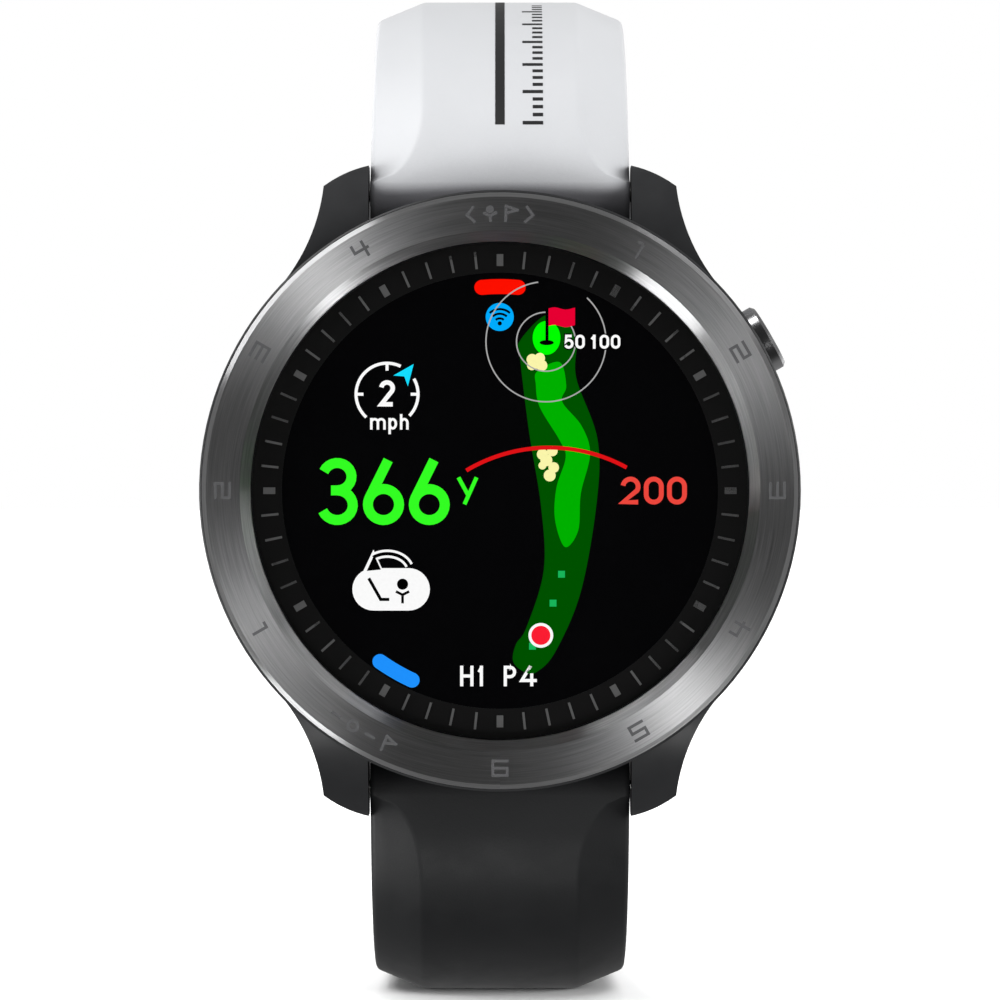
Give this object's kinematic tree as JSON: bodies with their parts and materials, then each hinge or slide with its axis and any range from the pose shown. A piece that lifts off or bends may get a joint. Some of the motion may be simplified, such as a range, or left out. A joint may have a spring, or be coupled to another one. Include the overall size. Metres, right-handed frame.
{
  "type": "golf gps watch",
  "caption": "Round sports watch with a steel bezel, display behind flat glass, side push button and a two-tone rubber strap with a pin buckle, shown open.",
  "frame": {"origin": "middle of the flat under the lower strap, on which the watch stands", "axes": "+X towards the dial's 3 o'clock, +Y from the viewer through the head to the wrist, +Z towards 12 o'clock; the dial faces -Y"},
  "size_m": [0.0454, 0.0915, 0.0781],
  "materials": {
    "case_black": "fine matt black",
    "bezel_metal": "gunmetal, brushed in circles",
    "bezel_print": "grey filled engraving",
    "crystal": "hardened glass",
    "dial_print": "dark grey print",
    "border_print": "black print",
    "display": "black display",
    "seal": "matt",
    "chassis": "moulded",
    "board": "solder mask",
    "flex": "polyimide",
    "steel": "polished stainless",
    "shield": "tinned",
    "ceramic": "fired ceramic",
    "gold": "gold plated",
    "battery": "laminated pouch",
    "pad": "foam tape",
    "back": "fine matt black",
    "button": "polished gunmetal",
    "strap_white": "smooth matt white silicone",
    "strap_black": "smooth matt black silicone",
    "stripe": "black print",
    "buckle": "polished gunmetal"
  },
  "bodies": {
    "lower_strap": {"lower_strap": "strap_black", "lower_bar_tube": "steel", "lower_bar_tip": "steel", "lower_bar_spring": "steel"},
    "lower_pin": {"lower_bar_pin": "steel"},
    "case": {"mid_case": "case_black", "bezel": "bezel_metal", "bezel_markings": "bezel_print", "crystal": "crystal", "minute_marks": "dial_print", "border_print": "border_print", "crystal_gasket": "seal", "display_panel": "display", "display_flex": "flex", "chassis": "chassis", "main_board": "board", "board_screws": "steel", "board_shields": "shield", "gps_antenna": "ceramic", "antenna_patch": "gold", "battery": "battery", "battery_pad": "pad", "motor_can": "shield", "motor_shaft": "steel", "side_switch": "chassis", "button_bushing": "steel", "button_spring": "steel", "back_cover": "back", "back_gasket": "seal", "back_screws": "steel", "contact_block": "pad", "charging_contacts": "gold"},
    "motor_rotor": {"motor_rotor": "steel"},
    "button": {"button_cap": "button", "button_stem": "steel", "button_seals": "seal", "button_clip": "steel"},
    "upper_strap": {"upper_strap": "strap_white", "stripe_inlay": "stripe", "scale_marks": "stripe", "fixed_keeper": "strap_white", "upper_bar_tube": "steel", "upper_bar_tip": "steel", "upper_bar_spring": "steel"},
    "upper_pin": {"upper_bar_pin": "steel"},
    "free_keeper": {"free_keeper": "strap_white"},
    "buckle": {"buckle_frame": "buckle", "buckle_bar": "steel"},
    "tongue": {"buckle_tongue": "buckle"}
  },
  "joints": [
    {"name": "case_tilt", "type": "hinge", "parent": "lower_strap", "child": "case", "pos_m": [0, -0.0225, 0.0163], "axis": [1, 0, 0], "range_deg": [-10, 25]},
    {"name": "upper_strap_hinge", "type": "hinge", "parent": "case", "child": "upper_strap", "pos_m": [0, -0.0225, 0.0615], "axis": [-1, 0, 0], "range_deg": [-35, 6]},
    {"name": "free_keeper_slide", "type": "slide", "parent": "upper_strap", "child": "free_keeper", "axis": [0, 0.4226, -0.9063], "range_m": [-0.004, 0.0055]},
    {"name": "buckle_hinge", "type": "hinge", "parent": "upper_strap", "child": "buckle", "pos_m": [0, 0.02941, 0.04059], "axis": [1, 0, 0], "range_deg": [-50, 70]},
    {"name": "tongue_hinge", "type": "hinge", "parent": "buckle", "child": "tongue", "pos_m": [0, 0.02941, 0.04059], "axis": [1, 0, 0], "range_deg": [0, 65]},
    {"name": "button_press", "type": "slide", "parent": "case", "child": "button", "axis": [-0.866, 0, -0.5], "range_m": [0, 0.0006], "stiffness_N_per_m": 1500, "springref_m": -0.0005, "deforming": ["button_spring"]},
    {"name": "upper_pin_slide", "type": "slide", "parent": "upper_strap", "child": "upper_pin", "axis": [1, 0, 0], "range_m": [0, 0.0013], "stiffness_N_per_m": 250, "springref_m": -0.002, "deforming": ["upper_bar_spring"]},
    {"name": "lower_pin_slide", "type": "slide", "parent": "lower_strap", "child": "lower_pin", "axis": [1, 0, 0], "range_m": [0, 0.0013], "stiffness_N_per_m": 250, "springref_m": -0.002, "deforming": ["lower_bar_spring"]},
    {"name": "motor_spin", "type": "hinge", "parent": "case", "child": "motor_rotor", "pos_m": [-0.0088, -0.024, 0.048], "axis": [0, 1, 0], "continuous": true}
  ]
}
